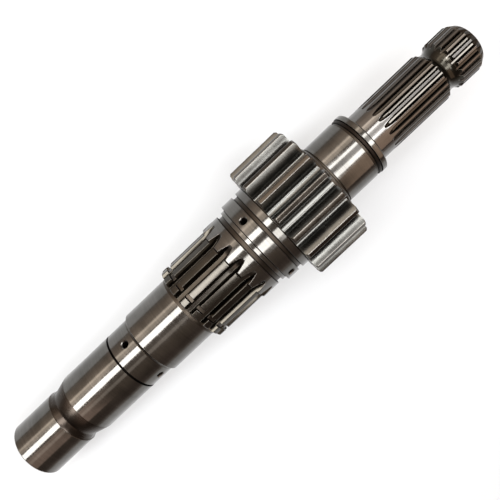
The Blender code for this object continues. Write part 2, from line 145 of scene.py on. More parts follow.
outline.cone(END_CHAMFER, END_RADIUS)
outline.go(RELIEF_START, END_RADIUS, "ground")
for step in range(1, RELIEF_STEPS + 1):
    turn = math.pi / 2 * step / RELIEF_STEPS
    station = RELIEF_START + RELIEF_FILLET * (1 - math.cos(turn))
    outline.go(station, END_RADIUS - RELIEF_DEPTH * math.sin(turn), "relief")
outline.cone(RELIEF_CONE, OIL_RADIUS, "relief")
outline.along(BEFORE_SEAL, "ground")
# The seal groove is painted near-black all over: painted shade in a narrow groove.
outline.groove(SEAL_WIDTH, SEAL_DEPTH, "seal_groove", "seal_groove")
outline.along(BEHIND_SEAL, "ground")
OIL_HOLE_STATION = outline.station() - HOLES_TO_SHOULDER
outline.cone(SHOULDER_CONE, BEARING_RADIUS)
outline.along(BEARING_LENGTH, "ground")
outline.cone(UNDERCUT_CONE, BEARING_RADIUS - UNDERCUT_DEPTH)
outline.along(UNDERCUT_WIDTH, "turned")
CLUTCH_START = outline.station()
print("the clutch spline starts at", round(CLUTCH_START, 2), "mm")

# %% [markdown]
# ### Clutch spline, collar and rings
#
# The blank of the clutch spline has a chamfered end and a groove for a circlip. Behind it
# stands the collar that the spline cutter runs out into. Then come an oil groove, a guide
# ring, the middle journal, a second groove and the thrust ring that the gear leans on.

# %% Blank of the clutch spline, and the rings before the gear
CLUTCH_RADIUS, COLLAR_RADIUS, GUIDE_RADIUS = 28.0, 29.15, 29.2
MIDDLE_RADIUS, THRUST_RADIUS = 31.7, 31.9
CLUTCH_CHAMFER, CLUTCH_CHAMFER_DEPTH, CLUTCH_NOSE = 0.7, 1.1, 4.2
CIRCLIP_WIDTH, CIRCLIP_DEPTH, CLUTCH_LENGTH = 3.1, 1.8, 29.4
COLLAR_CONE, COLLAR_WIDTH, RUNOUT_TO_GROOVE = 0.6, 12.5, 4.2
OIL_GROOVE_WIDTH, OIL_GROOVE_DEPTH, GUIDE_WIDTH = 3.6, 1.85, 3.0
MIDDLE_WIDTH, MIDDLE_GROOVE_WIDTH, MIDDLE_GROOVE_DEPTH = 9.0, 3.2, 1.9
THRUST_WIDTH, GEAR_RELIEF_WIDTH, GEAR_RELIEF_DEPTH = 4.7, 0.5, 0.6

outline.wall(CLUTCH_RADIUS - CLUTCH_CHAMFER_DEPTH)
outline.cone(CLUTCH_CHAMFER, CLUTCH_RADIUS)
outline.along(CLUTCH_NOSE, "spline_land")
outline.groove(CIRCLIP_WIDTH, CIRCLIP_DEPTH, "turned")
outline.along(CLUTCH_LENGTH, "spline_land")
outline.cone(COLLAR_CONE, COLLAR_RADIUS)
outline.along(COLLAR_WIDTH, "ground")
OIL_GROOVE_START = outline.station()
CLUTCH_RUNOUT = OIL_GROOVE_START - RUNOUT_TO_GROOVE
# Both walls of the oil groove are painted near-black: painted shade.
outline.groove(OIL_GROOVE_WIDTH, OIL_GROOVE_DEPTH, "groove", "painted_shade", GUIDE_RADIUS)
outline.along(GUIDE_WIDTH, "ground")
outline.wall(MIDDLE_RADIUS)
MIDDLE_HOLE_STATION = outline.station() + MIDDLE_WIDTH / 2
outline.along(MIDDLE_WIDTH, "ground")
# Both walls of the middle groove are painted near-black: painted shade.
outline.groove(MIDDLE_GROOVE_WIDTH, MIDDLE_GROOVE_DEPTH, "groove", "painted_shade", THRUST_RADIUS)
outline.along(THRUST_WIDTH, "ground")
outline.wall(THRUST_RADIUS - GEAR_RELIEF_DEPTH)
outline.along(GEAR_RELIEF_WIDTH, "turned")
GEAR_START = outline.station()
print("the gear starts at", round(GEAR_START, 2), "mm")

# %% [markdown]
# ### Gear blank, hub and front journal
#
# The gear's tip radius follows from its module and its 18 teeth. The module, 4.25 mm, is the
# pitch diameter divided by the number of teeth. Beyond the gear lie a small hub, the front
# journal with its undercut, and a narrow rough-turned land between two grooves.

# %% Gear blank, hub, front journal and small collar
GEAR_TEETH, GEAR_MODULE = 18, 4.25
GEAR_ADDENDUM, GEAR_DEDENDUM, GEAR_SHIFT = 0.88, 1.25, 0.26
GEAR_PITCH_RADIUS = GEAR_MODULE * GEAR_TEETH / 2
GEAR_TIP_RADIUS = GEAR_PITCH_RADIUS + GEAR_MODULE * (GEAR_ADDENDUM + GEAR_SHIFT)
GEAR_ROOT_RADIUS = GEAR_PITCH_RADIUS - GEAR_MODULE * (GEAR_DEDENDUM - GEAR_SHIFT)
GEAR_CHAMFER, GEAR_LENGTH = 1.2, 37.6
HUB_RADIUS, FRONT_RADIUS, LAND_RADIUS, SMALL_COLLAR_RADIUS = 25.5, 22.2, 22.1, 22.5
HUB_LENGTH, HUB_CHAMFER = 3.2, 0.8
FRONT_UNDERCUT_DEPTH, FRONT_UNDERCUT_WIDTH, FRONT_LENGTH = 0.8, 1.7, 22.7
RETAINING_WIDTH, RETAINING_DEPTH, LAND_CHAMFER, LAND_WIDTH = 1.9, 1.1, 0.5, 1.5
WIPER_WIDTH, WIPER_DEPTH = 0.6, 0.8
SMALL_COLLAR_WIDTH, SMALL_COLLAR_CHAMFER = 3.1, 0.7

outline.wall(GEAR_TIP_RADIUS - GEAR_CHAMFER)
outline.cone(GEAR_CHAMFER, GEAR_TIP_RADIUS)
outline.along(GEAR_LENGTH, "gear_land")
outline.cone(GEAR_CHAMFER, GEAR_TIP_RADIUS - GEAR_CHAMFER)
GEAR_END = outline.station()
outline.wall(HUB_RADIUS)
outline.along(HUB_LENGTH, "groove")
outline.cone(HUB_CHAMFER, HUB_RADIUS - HUB_CHAMFER)
outline.wall(FRONT_RADIUS - FRONT_UNDERCUT_DEPTH)
outline.along(FRONT_UNDERCUT_WIDTH, "turned")
outline.wall(FRONT_RADIUS)
outline.along(FRONT_LENGTH, "ground")
# Both walls of the retaining groove are painted near-black: painted shade.
outline.groove(RETAINING_WIDTH, RETAINING_DEPTH, "groove", "painted_shade", LAND_RADIUS - LAND_CHAMFER)
outline.cone(LAND_CHAMFER, LAND_RADIUS, "rough")
outline.along(LAND_WIDTH, "rough")
# The narrow wiper groove is painted near-black all over: painted shade.
outline.groove(WIPER_WIDTH, WIPER_DEPTH, "painted_shade", "painted_shade", SMALL_COLLAR_RADIUS)
outline.along(SMALL_COLLAR_WIDTH, "ground")
outline.cone(SMALL_COLLAR_CHAMFER, SMALL_COLLAR_RADIUS - SMALL_COLLAR_CHAMFER)
OUTPUT_START = outline.station()
print("the output end starts at", round(OUTPUT_START, 2), "mm")

# %% [markdown]
# ### Output end
#
# The fine spline has 21 teeth on 34.87 mm, the standard for a 1 3/8 inch power take-off. A
# round groove crosses it, in which the balls or the pin of the drive yoke lock.

# %% Output end with its lock groove
OUTPUT_RADIUS, OUTPUT_LENGTH, OUTPUT_PLAIN = 17.435, 88.0, 11.1
OUTPUT_END = OUTPUT_START + OUTPUT_LENGTH
OUTPUT_RUNOUT = OUTPUT_START + OUTPUT_PLAIN
NOSE_LENGTH, NOSE_DEPTH = 4.5, 3.0
LOCK_RADIUS, LOCK_DEPTH, LOCK_FROM_END, LOCK_STEPS = 6.8, 3.0, 24.8, 16
LOCK_MIDDLE = OUTPUT_END - LOCK_FROM_END
LOCK_CENTRE_RADIUS = OUTPUT_RADIUS - LOCK_DEPTH + LOCK_RADIUS
LOCK_HALF_ANGLE = math.acos((LOCK_CENTRE_RADIUS - OUTPUT_RADIUS) / LOCK_RADIUS)

outline.wall(OUTPUT_RADIUS)
for step in range(LOCK_STEPS + 1):
    turn = LOCK_HALF_ANGLE * (2 * step / LOCK_STEPS - 1)
    station = LOCK_MIDDLE + LOCK_RADIUS * math.sin(turn)
    radius = LOCK_CENTRE_RADIUS - LOCK_RADIUS * math.cos(turn)
    outline.go(station, radius, "lock_groove" if step else "fine_land")
outline.go(OUTPUT_END - NOSE_LENGTH, OUTPUT_RADIUS, "fine_land")
outline.go(OUTPUT_END, OUTPUT_RADIUS - NOSE_DEPTH, "turned")
outline.go(OUTPUT_END, CENTRE_MOUTH, "turned")
outline.go(OUTPUT_END - CENTRE_CONE, CENTRE_PILOT, "drilled")
outline.go(OUTPUT_END - CENTRE_BOTTOM, CENTRE_PILOT, "drilled")
outline.go(OUTPUT_END - CENTRE_POINT, 0.0, "drilled")
print(len(outline.points), "points in the outline")

# %% [markdown]
# ## Broken edges
#
# No turned edge is left razor sharp: a file takes 0.15 mm off it. That tiny facet is what
# catches the light as a thin bright line, so it is worth making. Nor is an inner corner
# quite sharp, because the tip of the lathe tool is round, and where it is steep it is painted
# near-black as a thin line of painted shade.
#
# Each corner is cut back along both of its sides and bent through a few more points. Bends
# under 25 degrees and the lathe centres stay as they are. No file has been at the rough land
# or the seal groove, so their edges keep the finish of the stretch, which in the seal
# groove is near-black painted shade.

# %% Break the outward corners and round the inner ones
EDGE_BREAK, BREAK_STEPS = 0.15, 3
TOOL_TIP, TIP_STEPS = 0.60, 2
SHARE_OF_A_SIDE = 0.3
GENTLE_BEND, STEEP_BEND = math.radians(25.0), math.radians(60.0)
UNFILED = ("rough", "seal_groove")


def bent(before, corner, after, steps):
    """Points on a curve that leaves before, pulls towards corner and arrives at after."""
    points = []
    for step in range(steps + 1):
        share = step / steps
        points.append(before.lerp(corner, share).lerp(corner.lerp(after, share), share))
    return points


def break_corners(points, finishes):
    """The outline with its corners bent, and the finish of each of its stretches."""
    kept, kinds = [points[0]], []
    for index in range(1, len(points) - 1):
        corner = Vector(points[index])
        into = corner - Vector(points[index - 1])
        out = Vector(points[index + 1]) - corner
        if into.angle(out) < GENTLE_BEND or corner.y <= CENTRE_MOUTH:
            kept.append(points[index])
            kinds.append(finishes[index - 1])
            continue
        if into.x * out.y < into.y * out.x:
            unfiled = [finish for finish in finishes[index - 1:index + 1] if finish in UNFILED]
            size, steps, kind = EDGE_BREAK, BREAK_STEPS, unfiled[0] if unfiled else "edge"
        else:
            size, steps = TOOL_TIP, TIP_STEPS
            # A steep inner corner is painted near-black: painted shade in the crease.
            kind = "turned" if into.angle(out) < STEEP_BEND else "painted_shade"
        cut = min(size, into.length * SHARE_OF_A_SIDE, out.length * SHARE_OF_A_SIDE)
        curve = bent(corner - into.normalized() * cut, corner, corner + out.normalized() * cut, steps)
        kept += [tuple(point) for point in curve]
        kinds += [finishes[index - 1]] + [kind] * steps
    return kept + [points[-1]], kinds + [finishes[-1]]


stations, stretches = break_corners(outline.points, outline.finishes)
print(len(stations), "points once the corners are broken")

# %% [markdown]
# ## The teeth
#
# Gear and splines have involute flanks: the curve that the end of a taut string draws as it
# unwinds from the base circle. The half angle of the gap between two teeth follows from it
# at any radius, and the same formula serves all three toothed stretches.
#
# A gap is given by the number of teeth, the pitch circle, the pressure angle and half of a
# tooth's angle on that circle, then by the radii of its floor and its mouth, the fillet at
# its floor, the broken edge of the tooth and the number of points on a flank.
# The flanks of the clutch spline stand at 25 degrees here and at 30 degrees in the CAD
# model, because in the photograph they look a little steeper.
#
# A hob or a shaper could be copied with Booleans, as the CAD model does. Here the gap's
# outline is clipped against the blank at each station instead, which leaves even rows of
# points that can be rounded along the edges of every tooth.

# %% Outline of the gap between two teeth
LONGEST_SETBACK, HALVINGS = 0.9, 30


def involute(angle):
    return math.tan(angle) - angle


class ToothGap:
    """Half the gap between two teeth: points from the middle of its floor out to its mouth."""

    def __init__(self, teeth, pitch_radius, pressure_angle, half_tooth, root, top, fillet, edge, fine):
        self.teeth, self.root, self.edge = teeth, root, edge
        self.half_pitch = math.pi / teeth
        self.base = pitch_radius * math.cos(pressure_angle)
        self.half_tooth_at_base = half_tooth + involute(pressure_angle)
        corner = self.flank_point(root)
        floor_middle = Vector((0.0, root))
        third_up = self.flank_point(root + (top - root) / 3)
        half_corner = (third_up - corner).angle(floor_middle - corner) / 2
        sides = min((third_up - corner).length, (floor_middle - corner).length)
        setback = min(fillet / math.tan(half_corner), sides * LONGEST_SETBACK)
        floor_end = corner + (floor_middle - corner).normalized() * setback
        flank_start_radius = self.radius_at(corner, setback, top)
        flank_start = self.flank_point(flank_start_radius)
        rise = (top - flank_start_radius) / fine
        flank = [flank_start_radius + rise * (step + 1) for step in range(fine)]
        self.half = [floor_middle] + bent(floor_end, corner, flank_start, fine)
        self.half += [self.flank_point(radius) for radius in flank]

    def half_space(self, radius):
        angle = math.acos(min(1.0, self.base / radius))
        return self.half_pitch - self.half_tooth_at_base + involute(angle)

    def flank_point(self, radius):
        angle = self.half_space(radius)
        return Vector((radius * math.sin(angle), radius * math.cos(angle)))

    def radius_at(self, corner, distance, top):
        """Radius at which the flank is the given distance away from the floor's corner."""
        low, high = self.root, top
        for _ in range(HALVINGS):
            middle = (low + high) / 2
            if (self.flank_point(middle) - corner).length < distance:
                low = middle
            else:
                high = middle
        return low


OVER_THE_TOP = 0.6
CLUTCH_TEETH, CLUTCH_DEPTH, CLUTCH_TOOTH_SHARE = 17, 3.6, 0.5675
OUTPUT_TEETH, OUTPUT_DEPTH, OUTPUT_TOOTH_SHARE = 21, 1.85, 0.50
CLUTCH_PRESSURE = math.radians(25.0)
GEAR_PRESSURE = math.radians(20.0)
OUTPUT_PRESSURE = math.radians(30.0)

clutch_gap = ToothGap(
    CLUTCH_TEETH, CLUTCH_RADIUS * CLUTCH_TEETH / (CLUTCH_TEETH + 1), CLUTCH_PRESSURE,
    math.pi / CLUTCH_TEETH * CLUTCH_TOOTH_SHARE, CLUTCH_RADIUS - CLUTCH_DEPTH,
    COLLAR_RADIUS + OVER_THE_TOP, fillet=0.4, edge=0.22, fine=5,
)
gear_widening = 2 * GEAR_SHIFT * math.tan(GEAR_PRESSURE) / GEAR_TEETH
gear_gap = ToothGap(
    GEAR_TEETH, GEAR_PITCH_RADIUS, GEAR_PRESSURE,
    math.pi / (2 * GEAR_TEETH) + gear_widening, GEAR_ROOT_RADIUS,
    GEAR_TIP_RADIUS + OVER_THE_TOP, fillet=2.0, edge=0.30, fine=7,
)
output_gap = ToothGap(
    OUTPUT_TEETH, OUTPUT_RADIUS * OUTPUT_TEETH / (OUTPUT_TEETH + 1), OUTPUT_PRESSURE,
    math.pi / OUTPUT_TEETH * OUTPUT_TOOTH_SHARE, OUTPUT_RADIUS - OUTPUT_DEPTH,
    OUTPUT_RADIUS + OVER_THE_TOP, fillet=0.3, edge=0.16, fine=4,
)
gear_tip_angle = 2 * (math.pi / GEAR_TEETH - gear_gap.half_space(GEAR_TIP_RADIUS))
print("gear tip land, mm:", round(GEAR_TIP_RADIUS * gear_tip_angle, 2))

# %% [markdown]
# ## Where the cutter runs out
#
# The spline cutters are discs of 20 mm radius. Near its end each cut climbs out of the
# blank along that radius, and because the gap gets shallower it also gets narrower. That is
# what draws the pointed lancets on the collar and beside the small collar. The hob went
# right through the gear, which has a gap straight below the axis.

# %% Lift of the cutter along the shaft
CUTTER_RADIUS, RUNOUT_STEPS = 20.0, 14
NEARLY_OUT, NEARLY_UPRIGHT = 0.004, 0.999
CLUTCH_FIRST_GAP, GEAR_FIRST_GAP, OUTPUT_FIRST_GAP = math.radians(5.0), math.pi, math.radians(-0.8)


class Cut:
    """One toothed stretch: its gap, the angle of its first gap, and where its cutter lifts."""

    def __init__(self, gap, first_angle, runout=None, blank=0.0, direction=1):
        self.gap, self.first_angle, self.direction = gap, first_angle, direction
        self.climb_start = None
        self.extra = []
        if runout is None:
            return
        depth = blank - gap.root
        climb = math.sqrt(2 * CUTTER_RADIUS * depth - depth**2)
        self.climb_start = runout - direction * climb
        last_turn = math.acos(1 - (depth - 2 * NEARLY_OUT) / CUTTER_RADIUS)
        for step in range(RUNOUT_STEPS + 1):
            reach = CUTTER_RADIUS * math.sin(last_turn * step / RUNOUT_STEPS)
            self.extra.append(self.climb_start + direction * reach)
        self.extra.append(runout)

    def lift(self, station):
        if self.climb_start is None:
            return 0.0
        reach = (station - self.climb_start) * self.direction
        if reach <= 0:
            return 0.0
        turn = math.asin(min(NEARLY_UPRIGHT, reach / CUTTER_RADIUS))
        return CUTTER_RADIUS * (1 - math.cos(turn))


clutch_cut = Cut(clutch_gap, CLUTCH_FIRST_GAP, CLUTCH_RUNOUT, COLLAR_RADIUS, 1)
gear_cut = Cut(gear_gap, GEAR_FIRST_GAP)
output_cut = Cut(output_gap, OUTPUT_FIRST_GAP, OUTPUT_RUNOUT, OUTPUT_RADIUS, -1)
print("clutch cutter lifts from", round(clutch_cut.climb_start, 2), "mm")

# %% [markdown]
# ## Rings of points
#
# Every ring lists (radius, angle) pairs round the axis. A plain ring is a circle. A toothed
# ring follows the gap's outline up to the blank, rounds the tooth's edge, and crosses the
# land to the middle of the tooth. Where the gap has closed or the blank lies below its
# floor, the same number of points is spread round the circle, so rings always match.

# %% One ring, plain or toothed
PLAIN_POINTS = 168
LAND_STEPS, EDGE_STEPS = 2, 3
SHARE_FOR_EDGE, SHARE_WHEN_CLOSED = 0.4, 0.02


def crossing(half, radius):
    """Where half a gap's outline reaches a radius, as a point, or None where it never does."""
    for low, high in zip(half, half[1:]):
        if low.length <= radius < high.length:
            share = (radius - low.length) / (high.length - low.length)
            return low.lerp(high, share)
    return None


def half_ring(cut, station, blank):
    """(radius, angle, kind) from the middle of a gap to the middle of the next tooth."""
    gap = cut.gap
    half = [Vector((point.x, point.y + cut.lift(station))) for point in gap.half]
    depth = blank - half[0].length
    if depth <= NEARLY_OUT:
        last = gap.half[1].x / blank
        spread = [(blank, min(last, math.atan2(point.x, point.y)), "closed") for point in half[:-1]]
        apart = (gap.half_pitch - last) * SHARE_WHEN_CLOSED
        spread += [(blank, last + apart * step, "closed") for step in range(EDGE_STEPS + 1)]
        start = spread[-1][1]
    else:
        edge = min(gap.edge, depth * SHARE_FOR_EDGE)
        corner = crossing(half, blank)
        below = crossing(half, blank - edge)
        corner_angle = math.atan2(corner.x, corner.y)
        start = corner_angle + min(edge / blank, (gap.half_pitch - corner_angle) * SHARE_FOR_EDGE)
        onto_land = Vector((blank * math.sin(start), blank * math.cos(start)))
        kept = [point if point.length < blank - edge else below for point in half[:-1]]
        spread = [(point.length, math.atan2(point.x, point.y), "gap") for point in kept]
        spread[1] = (*spread[1][:2], "floor")
        for point in bent(below, corner, onto_land, EDGE_STEPS):
            spread.append((point.length, math.atan2(point.x, point.y), "edge"))
    for step in range(1, LAND_STEPS + 1):
        spread.append((blank, start + (gap.half_pitch - start) * step / LAND_STEPS, "land"))
    return spread


def ring(cut, station, blank):
    """All points of one ring, and the kind of the stretch that follows each of them."""
    if cut is None:
        step = 2 * math.pi / PLAIN_POINTS
        return [(blank, step * index) for index in range(PLAIN_POINTS)], ["land"] * PLAIN_POINTS
    rising = half_ring(cut, station, blank)
    names = [kind for _, _, kind in rising[1:]]
    pitch = 2 * cut.gap.half_pitch
    points, kinds = [], []
    for tooth in range(cut.gap.teeth):
        middle = cut.first_angle + pitch * tooth
        points += [(radius, middle + angle) for radius, angle, _ in rising]
        points += [(radius, middle + pitch - angle) for radius, angle, _ in rising[-2:0:-1]]
        kinds += names + names[::-1]
    return points, kinds


print(len(ring(gear_cut, GEAR_START, GEAR_TIP_RADIUS)[0]), "points round the gear")

# %% [markdown]
# ## Where the teeth are
#
# A short table says between which stations each cut is at work. Long stretches get extra
# rings where a cutter lifts, so that the curve of its run-out stays round.

# %% Which stretch is toothed
OUTPUT_LACE = OUTPUT_START + 2.0
SAME_STATION, CLEAR_OF_A_RING, CLEAR_OF_THE_CENTRE = 1e-6, 0.02, 0.01
TOOTHED = [
    (CLUTCH_START, OIL_GROOVE_START, clutch_cut),
    (GEAR_START, GEAR_END, gear_cut),
    (OUTPUT_LACE, OUTPUT_END, output_cut),
]


def cut_at(station, radius):
    if radius <= CENTRE_MOUTH + CLEAR_OF_THE_CENTRE:
        return None
    for start, end, cut in TOOTHED:
        if start - SAME_STATION <= station <= end + SAME_STATION:
            return cut
    return None


def with_extra_stations(points, finishes, extra):
    """Splits each stretch at the extra stations that lie clear of its ends."""
    kept, kinds = [points[0]], []
    for start, end, finish in zip(points, points[1:], finishes):
        for station in sorted(extra):
            if start[0] + CLEAR_OF_A_RING < station < end[0] - CLEAR_OF_A_RING:
                share = (station - start[0]) / (end[0] - start[0])
                kept.append((station, start[1] + (end[1] - start[1]) * share))
                kinds.append(finish)
        kept.append(end)
        kinds.append(finish)
    return kept, kinds


extra_stations = clutch_cut.extra + output_cut.extra + [OUTPUT_LACE]
stations, stretches = with_extra_stations(stations, stretches, extra_stations)
print(len(stations), "rings")

# %% [markdown]
# ## How the shaft lies
#
# The shaft rests on the rim of its input end and on two teeth of the gear, so its axis
# rises a little towards the output end. The slope follows from the same sizes as in the CAD
# model. The mesh is made in the world's frame, and the surface patterns get the shaft's own
# frame back through a Mapping node.

# %% The shaft's own frame
MM = 0.001
tooth_reach = GEAR_TIP_RADIUS * math.cos(gear_gap.half_space(GEAR_TIP_RADIUS))
tilt = math.atan2(tooth_reach - END_RADIUS, GEAR_START + GEAR_CHAMFER - END_CHAMFER)
rest_height = (END_RADIUS * math.cos(tilt) - END_CHAMFER * math.sin(tilt)) * MM
rest_x = cad_low.x + (END_RADIUS - END_CHAMFER) * MM * math.sin(tilt)
shaft_frame = Matrix.Translation((rest_x, 0, rest_height)) @ Matrix.Rotation(-tilt, 4, "Y")
print("the axis rises by", round(math.degrees(tilt), 2), "degrees")

# %% [markdown]
# ## Colours and helpers for nodes
#
# Colours are written as sRGB hex values, as a paint program shows them, and one function
# turns them to the linear values that the shader needs. A second one adds a node with its
# settings and links. Two more stand for the nodes that are used most: one mixes two colours
# and one stretches a range of values. A Mix node has sockets for every type of value, and
# those for colours are inputs 6 and 7 and output 2.

# %% Colour and node helpers
COLOUR_A, COLOUR_B, MIXED_COLOUR = 6, 7, 2


def linear(hex_colour):
    channels = [int(hex_colour[place:place + 2], 16) / 255 for place in (1, 3, 5)]
    bright = [c / 12.92 if c <= 0.04045 else ((c + 0.055) / 1.055) ** 2.4 for c in channels]
    return (*bright, 1.0)


def add(tree, kind, inputs=None, **settings):
    """Adds a node. An input is a value, or another node's output to link."""
    node = tree.nodes.new(kind)
    for name, value in settings.items():
        setattr(node, name, value)
    for name, value in (inputs or {}).items():
        if isinstance(value, bpy.types.NodeSocket):
            tree.links.new(value, node.inputs[name])
        else:
            node.inputs[name].default_value = value
    return node


def blend(tree, factor, first, second):
    """Mixes two colours, each a value or an output, and gives the output of the mix."""
    inputs = {"Factor": factor, COLOUR_A: first, COLOUR_B: second}
    return add(tree, "ShaderNodeMix", inputs, data_type="RGBA").outputs[MIXED_COLOUR]


def ranged(tree, value, low, high, to_low=0.0, to_high=1.0):
    """Stretches the values from low to high over another range, and stops at its ends."""
    inputs = {"Value": value, "From Min": low, "From Max": high, "To Min": to_low, "To Max": to_high}
    return add(tree, "ShaderNodeMapRange", inputs).outputs["Result"]


print("white is", linear("#ffffff"))

# %% [markdown]
# ## Case-hardened steel and its finishes
#
# The shaft is case-hardening steel. After hardening it is dark, warm and a little brown from
# the oil that it was quenched in. Every tool leaves its own skin on it:
#
# - a grinding wheel leaves fine lines round the shaft and the brightest, sharpest shine
# - a lathe leaves feed lines round the shaft, wider and duller
# - a hob or shaper leaves lines along the teeth
# - a file leaves the edges bright
#
# All finishes share one recipe: a metal whose colour wavers between two tones in soft
# stains, and whose roughness and height follow lines in one direction. The lines of a
# grinding wheel are some 0.05 mm apart, too fine to show, so they are drawn 0.7 mm apart.

# %% The recipe for a steel finish
LINE_LENGTH_MM, STAIN_MM = 60.0, 14.0
STAIN_LOW, STAIN_HIGH, STAIN_SHARE = 0.34, 0.66, 0.7
TONE_LOW, TONE_HIGH = 0.3, 1.4
QUARTER_TURN = 0.25
own_frame = shaft_frame.inverted()


def steel_finish(name, dark, light, rough, across, line_mm, height_mm, shine=0.0):
    """Case-hardened steel. rough is a (lowest, highest) pair, and across says which way the
    lines run: "round" the shaft or "along" it."""
    material = bpy.data.materials.new(name)
    material.use_nodes = True
    tree = material.node_tree
    shader = tree.nodes["Principled BSDF"]
    shader.inputs["Metallic"].default_value = 1.0
    shader.inputs["Anisotropic"].default_value = shine
    shader.inputs["Anisotropic Rotation"].default_value = QUARTER_TURN

    world = add(tree, "ShaderNodeTexCoord").outputs["Object"]
    own = add(tree, "ShaderNodeMapping", {
        "Vector": world,
        "Location": own_frame.to_translation(),
        "Rotation": own_frame.to_euler(),
    }).outputs["Vector"]
    fine, slow = 1 / (line_mm * MM), 1 / (LINE_LENGTH_MM * MM)
    stretch = (fine, slow, slow) if across == "round" else (slow / 2, fine, fine)
    lined = add(tree, "ShaderNodeMapping", {"Vector": own, "Scale": stretch}).outputs["Vector"]
    lines = add(tree, "ShaderNodeTexNoise", {
        "Vector": lined, "Scale": 1.0, "Detail": 2.0, "Roughness": 0.6,
    }).outputs["Fac"]
    stains = add(tree, "ShaderNodeTexNoise", {
        "Vector": own, "Scale": 1 / (STAIN_MM * MM), "Detail": 4.0, "Roughness": 0.62,
    }).outputs["Fac"]
    spread = ranged(tree, stains, STAIN_LOW, STAIN_HIGH)
    both = add(tree, "ShaderNodeMath", {0: spread, 1: STAIN_SHARE, 2: lines}, operation="MULTIPLY_ADD")
    tone = ranged(tree, both.outputs[0], TONE_LOW, TONE_HIGH)
    colour = blend(tree, tone, linear(dark), linear(light))
    tree.links.new(colour, shader.inputs["Base Color"])
    roughness = ranged(tree, both.outputs[0], TONE_LOW, TONE_HIGH, *rough)
    tree.links.new(roughness, shader.inputs["Roughness"])
    bump = add(tree, "ShaderNodeBump", {"Height": lines, "Strength": 1.0, "Distance": height_mm * MM})
    tree.links.new(bump.outputs["Normal"], shader.inputs["Normal"])
    if shine:
        tangent = add(tree, "ShaderNodeTangent", direction_type="RADIAL", axis="X")
        tree.links.new(tangent.outputs["Tangent"], shader.inputs["Tangent"])
    return material


print("lines run", LINE_LENGTH_MM, "mm before they change, and stains are", STAIN_MM, "mm wide")

# %% [markdown]
# ### One material for each tool
#
# Each row is one finish: the material's name, its darker and its lighter tone, its lowest
# and highest roughness, the way its lines run, and how far apart and how high they are in
# millimetres. The ground journals also draw their highlights out across the lines.
#
# The journals are the brightest. The lands of the teeth were turned with the blank, and
# hubs and gears have run on them. The output spline is cut finer: its lands and floors shine
# between flanks painted near-black as painted shade. The walls of most grooves, the narrow
# seal and wiper grooves and steep inner corners are painted near-black as painted shade.

# %% The finishes
STEEL, NEAR_BLACK = "case_hardened_steel_", "shade_paint_"
RECIPES = {
    "ground": (STEEL + "ground", "#53524f", "#6d6b68", (0.10, 0.16), "round", 0.7, 0.0004, 0.4),
    "turned": (STEEL + "turned", "#342f2a", "#48423b", (0.30, 0.42), "round", 0.5, 0.0060),
    "relief": (STEEL + "fine_turned", "#332e2a", "#423c37", (0.22, 0.30), "round", 0.6, 0.0012),
    "groove": (STEEL + "groove", "#2e2924", "#3e3832", (0.34, 0.46), "round", 0.5, 0.0050),
    "rough": (STEEL + "rough_turned", "#1b1714", "#28221e", (0.45, 0.55), "round", 0.6, 0.0060),
    # Painted shade: near-black on groove walls, the wiper groove and steep inner corners, and in the seal
    # groove below.
    "painted_shade": (NEAR_BLACK + "on_steel", "#0a0908", "#151210", (0.50, 0.70), "round", 0.6, 0.0030),
    "seal_groove": (NEAR_BLACK + "in_seal_groove", "#060505", "#0e0c0b", (0.50, 0.70), "round", 0.6, 0.0030),
    "lock_groove": (STEEL + "lock_groove", "#2e2c27", "#3d3b36", (0.13, 0.18), "round", 0.6, 0.0008),
    "spline_land": (STEEL + "clutch_land", "#3e3c38", "#4d4a45", (0.14, 0.20), "round", 0.6, 0.0005),
    "gear_land": (STEEL + "gear_land", "#3d3934", "#504b45", (0.13, 0.20), "along", 1.2, 0.0005),
    "fine_land": (STEEL + "output_land", "#656361", "#767472", (0.12, 0.16), "along", 2.0, 0.0003),
    "spline_floor": (STEEL + "spline_floor", "#403d39", "#53504b", (0.15, 0.22), "along", 1.6, 0.0004),
    "spline_gap": (STEEL + "spline_flank", "#37342f", "#46433d", (0.12, 0.18), "along", 1.6, 0.0004),
    "fine_floor": (STEEL + "fine_spline_floor", "#4a4743", "#5d5a55", (0.08, 0.12), "along", 2.0, 0.0002),
    # Painted shade: the flanks and broken edges of the output spline are near-black.
    "fine_gap": (STEEL + "fine_spline_flank_painted_shade", "#161412", "#272421", (0.12, 0.20), "along", 1.6, 0.0004),
    "gear_gap": (STEEL + "hobbed_gap", "#525250", "#696966", (0.22, 0.29), "along", 1.4, 0.0006),
    "edge": (STEEL + "filed_edge", "#5a5855", "#6e6c68", (0.20, 0.30), "round", 0.6, 0.0005),
    "drilled": (STEEL + "drilled", "#221e1b", "#322c27", (0.40, 0.55), "round", 0.5, 0.0060),
}
SKIN = {finish: steel_finish(*recipe) for finish, recipe in RECIPES.items()}
FINISHES = list(SKIN)


def dress(mesh):
    """One slot for each finish, in the same order on the shaft and on every drill."""
    for finish in FINISHES:
        mesh.materials.append(SKIN[finish])


print(len(FINISHES), "finishes:", ", ".join(FINISHES))

# %% [markdown]
# ## Joining the rings
#
# Rings with the same number of points are joined by four-sided faces. Where a plain stretch
# meets a toothed one the numbers differ, so a strip of triangles is laced between them. That
# happens on the floor of a groove or on the plain stretch behind the small collar, where
# nothing shows it. Each face gets the finish of its stretch of the outline, unless it lies
# in the gap between two teeth.

# %% Build the rings and lace them together
CUT_BY_TEETH = ("spline_land", "fine_land", "gear_land", "ground", "lock_groove")
ON_THE_AXIS, SAME_PLACE = 1e-6, 2e-7


def finish_of(stretch, kind, cut):
    """The finish of a face on a stretch, by its place on the tooth."""
    if kind in ("gap", "floor"):
        if cut is gear_cut:
            return "gear_gap"
        return f"fine_{kind}" if cut is output_cut else f"spline_{kind}"
    if kind == "edge" and stretch == "gear_land":
        return "edge"
    # The broken edges of the output teeth get the flanks' near-black painted shade.
    if kind == "edge" and stretch == "fine_land":
        return "fine_gap"
    return stretch


